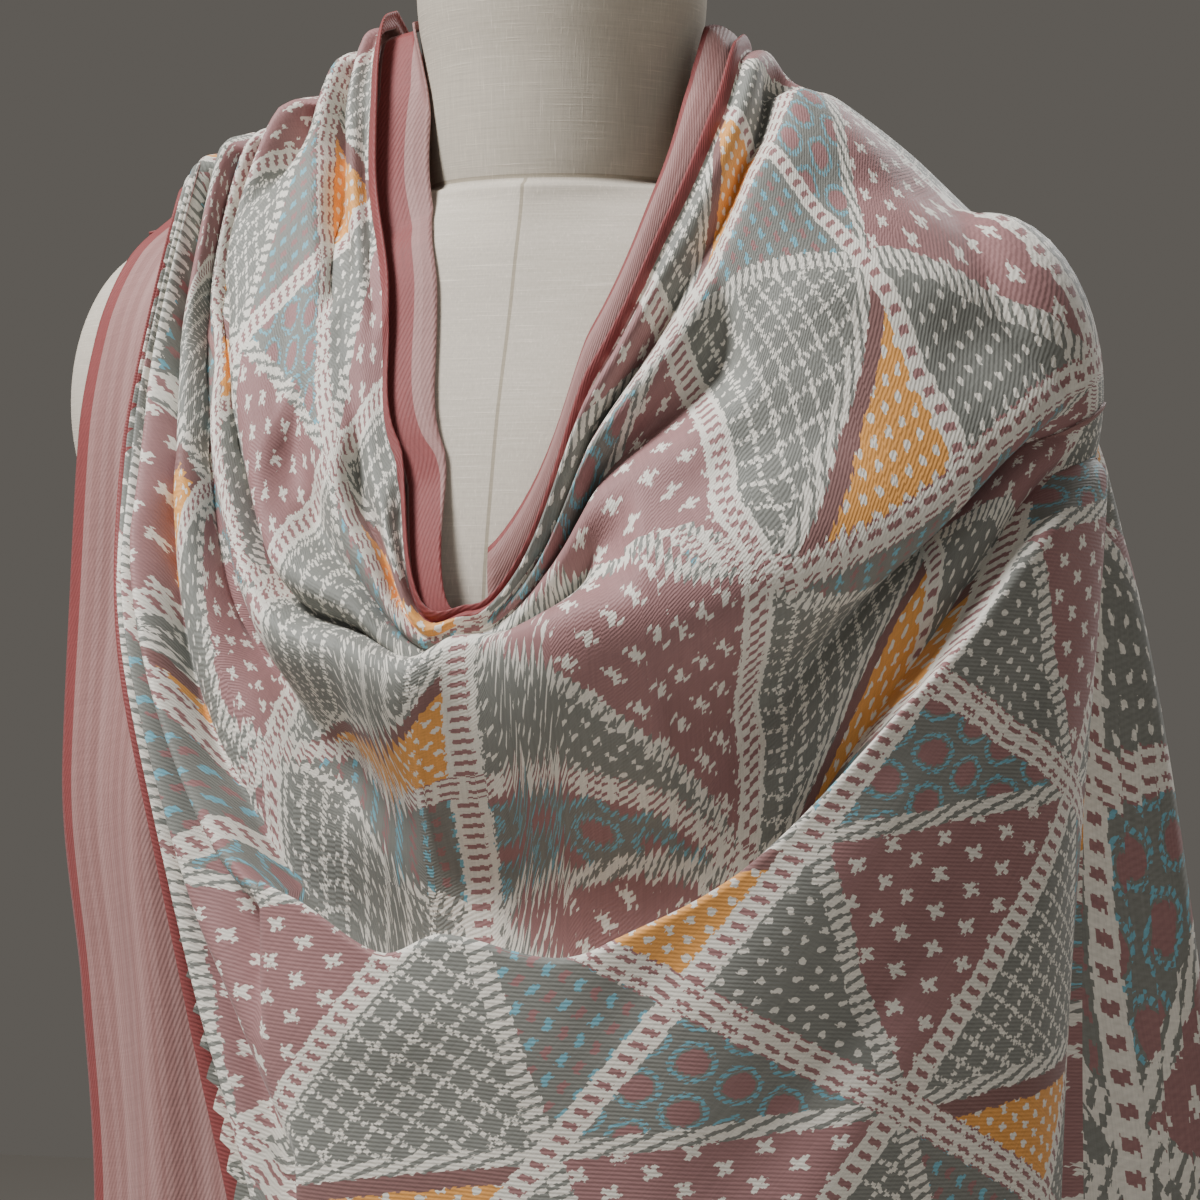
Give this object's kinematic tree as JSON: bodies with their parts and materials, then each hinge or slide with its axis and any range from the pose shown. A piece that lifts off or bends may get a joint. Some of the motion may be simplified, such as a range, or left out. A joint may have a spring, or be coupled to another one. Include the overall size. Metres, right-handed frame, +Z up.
{
  "type": "shawl on a dress form",
  "caption": "Printed shawl with a plain reverse, wound in swags and pleats round the shoulders of a linen-covered dress form on a round-footed stand.",
  "frame": {"origin": "on the floor under the middle of the stand's round foot", "axes": "+Z up; the form faces -Y; +X is to the right as seen from the front"},
  "size_m": [0.4821, 0.38, 1.448],
  "materials": {
    "print": "soft twill, printed in grey, mauve, orange and off-white",
    "reverse": "soft twill, plain mauve with a dark red selvedge",
    "linen": "natural linen, stretched smooth",
    "plate": "stained and varnished",
    "steel": "satin dark paint"
  },
  "bodies": {
    "root": {"front_swag": "print", "shoulder_pleats": "print", "right_cape": "print", "back_drape": "print", "thrown_end": "print", "under_end": "reverse", "neck_band_right": "reverse", "neck_band_left": "reverse", "form_torso": "linen", "form_neck_cap": "linen", "form_base_plate": "plate", "stand_pole": "steel", "stand_foot": "steel"}
  },
  "joints": []
}
